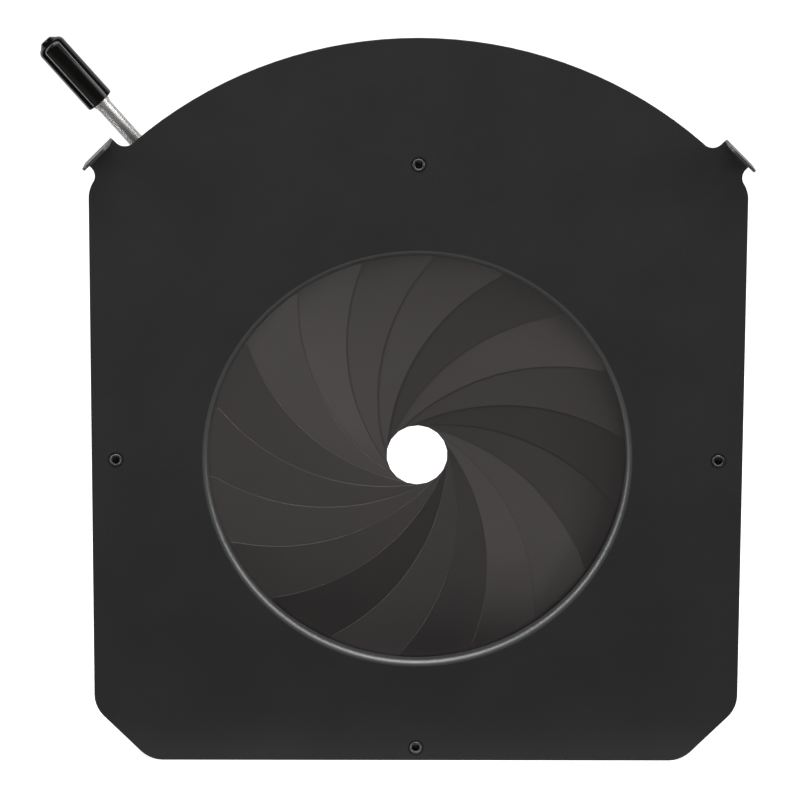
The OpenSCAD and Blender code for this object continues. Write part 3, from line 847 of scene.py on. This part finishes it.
# --- Studio --------------------------------------------------------------------------------
# A pale floor and surround, a soft lamp overhead and one at each side, and the camera. Cards
# and two narrow glowing bands, which only reflections see, draw the lines on lip and knob.

floor_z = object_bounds()[0].z
scene = bpy.context.scene
scene.view_settings.view_transform = "Standard"
WHITE, GREY, DARK, BLACK = (1.0,) * 3, (0.42,) * 3, (0.15,) * 3, (0.02,) * 3
FLOOR_TONE, DAYLIGHT = (0.7,) * 3, (0.93, 0.96, 1.0)
FLOOR_HALF, FLOOR_GLOW = 4, 0.75
SKY_LIGHT, SKY_SHOWN = 0.45, 0.55
BAND_GLOW = 14.0


def bare(holder):
    """The emptied node tree of a material or a world."""
    holder.use_nodes = True
    holder.node_tree.nodes.clear()
    return holder.node_tree


def surface(tree, shader, kind="Material"):
    tree.links.new(shader, tree.nodes.new("ShaderNodeOutput" + kind).inputs["Surface"])


def shown_in(tree):
    """1 for the rays that show a thing, 0 for those that only light others by it."""
    rays = tree.nodes.new("ShaderNodeLightPath").outputs
    shown = Wire(tree, rays["Is Camera Ray"])
    for kind in ("Is Glossy Ray", "Is Transmission Ray"):
        shown = shown.reckon("MAXIMUM", Wire(tree, rays[kind]))
    return shown


def diffuse(tree, tone):
    return node_of(tree, "ShaderNodeBsdfDiffuse", Color=(*tone, 1.0))


def emission(tree, tone, strength):
    return node_of(tree, "ShaderNodeEmission", Color=(*tone, 1.0), Strength=strength)


def strip_of(name, rungs):
    """A strip of quads. Rungs are its corners in pairs."""
    mesh = bpy.data.meshes.new(name)
    mesh.from_pydata(rungs, [], [(i, i + 1, i + 3, i + 2) for i in range(0, len(rungs) - 2, 2)])
    mesh.materials.append(bpy.data.materials.new(name))
    return linked(name, mesh), bare(mesh.materials[0])


floor, tree = strip_of("floor", [
    (x, y, floor_z) for y in (-FLOOR_HALF, FLOOR_HALF) for x in (-FLOOR_HALF, FLOOR_HALF)
])
both = tree.nodes.new("ShaderNodeAddShader")
tree.links.new(diffuse(tree, FLOOR_TONE).socket, both.inputs[0])
tree.links.new(emission(tree, WHITE, shown_in(tree) * FLOOR_GLOW).socket, both.inputs[1])
surface(tree, both.outputs[0])

scene.world = bpy.data.worlds.new("surround")
tree = bare(scene.world)
sky = node_of(tree, "ShaderNodeBackground", Color=(*WHITE, 1.0),
              Strength=shown_in(tree) * SKY_SHOWN + SKY_LIGHT)
surface(tree, sky.socket, "World")


def soft_lamp(name, at, towards, width, height, power):
    lamp = bpy.data.lights.new(name, "AREA")
    lamp.shape, lamp.size, lamp.size_y, lamp.energy = "RECTANGLE", width, height, power
    holder = linked(name, lamp)
    holder.location = at
    holder.rotation_euler = (Vector(towards) - Vector(at)).to_track_quat("-Z", "Y").to_euler()


def reflected(name, rungs, tone, strength=0.0):
    """A band of card, or a glowing one, that only reflections see."""
    band, tree = strip_of(name, rungs)
    face = emission(tree, tone, strength) if strength else diffuse(tree, tone)
    surface(tree, face.socket)
    band.visible_camera = band.visible_diffuse = False
    band.visible_shadow = band.visible_transmission = False


# The camera looks slightly down at the plate, from almost straight in front.
AZIMUTH, ELEVATION, ROLL = math.radians(0.491), math.radians(14.153), math.radians(0.248)
AIM, DISTANCE = Vector((-0.003694, -0.003, 0.013243)), 1.0175
SENSOR_MM, LENS_MM = 36, 217.93
forward = Vector((
    math.sin(AZIMUTH) * math.cos(ELEVATION),
    math.cos(AZIMUTH) * math.cos(ELEVATION),
    -math.sin(ELEVATION),
))
right = forward.cross(Vector((0, 0, 1))).normalized()
up = right.cross(forward)
right_rolled = right * math.cos(ROLL) + up * math.sin(ROLL)
up_rolled = up * math.cos(ROLL) - right * math.sin(ROLL)
camera_data = bpy.data.cameras.new("camera")
camera_data.sensor_width, camera_data.lens = SENSOR_MM, LENS_MM
camera_data.clip_start, camera_data.clip_end = 0.05, 20
camera = linked("camera", camera_data)
turn = Matrix((right_rolled, up_rolled, -forward)).transposed()
camera.matrix_world = Matrix.Translation(AIM - forward * DISTANCE) @ turn.to_4x4()
scene.camera = camera

# The cards lie just above the floor, with the lower band on top of them. The hoop stands on
# a sphere round the object, from the right over the top to the left.
CARD_Z, BAND_Z = floor_z + 0.001, floor_z + 0.002
CARD_HALF, CARD_FAR, CARD_TOP = 2.0, -2.0, 1.5
TABLE_FRONT, TABLE_BACK, FOOT_BACK = -0.36, -0.11, -0.012
HOOP_R, HOOP_AROUND = 0.75, range(-8, 196, 6)


def hoop(inside, outside):
    """A band of the sphere between two angles from the camera's axis, in degrees."""
    rungs = []
    for around in map(math.radians, HOOP_AROUND):
        sideways = right * math.cos(around) + up * math.sin(around)
        for off_axis in map(math.radians, (inside, outside)):
            spoke = sideways * math.sin(off_axis) - forward * math.cos(off_axis)
            rungs.append(spoke * HOOP_R)
    return rungs


def across_the_front(*lines):
    """A band as wide as the cards through lines that are told by their y and z."""
    return [(x, y, z) for y, z in lines for x in (-CARD_HALF, CARD_HALF)]


front, table, foot = (TABLE_FRONT, CARD_Z), (TABLE_BACK, CARD_Z), (FOOT_BACK, CARD_Z)
reflected("dark_front", across_the_front(front, (CARD_FAR, CARD_Z), (CARD_FAR, CARD_TOP)), DARK)
reflected("card_on_the_table", across_the_front(front, table), GREY)
reflected("card_at_the_foot", across_the_front(table, foot), BLACK)
reflected("hoop", hoop(67, 73), DAYLIGHT, BAND_GLOW)
reflected("hoop_flag", hoop(74, 104), BLACK)
band_back = ((-0.72, -0.23, BAND_Z), (-0.158, -0.073, BAND_Z))
reflected("low_band", [(-0.72, -0.31, BAND_Z), band_back[0],
                       (-0.155, -0.095, BAND_Z), band_back[1]], DAYLIGHT, BAND_GLOW)
reflected("low_flag", [band_back[0], (-0.72, 0.25, BAND_Z),
                       band_back[1], (-0.12, 0.06, BAND_Z)], BLACK)
soft_lamp("overhead", (0.05, -0.25, 0.85), (0, 0, 0), 0.7, 0.5, 7.0)
soft_lamp("right side", (0.75, -0.35, 0.35), (0, 0, 0.05), 0.3, 0.5, 2.0)
soft_lamp("left side", (-0.8, -0.3, 0.35), (0, 0, 0.05), 0.3, 0.5, 1.5)
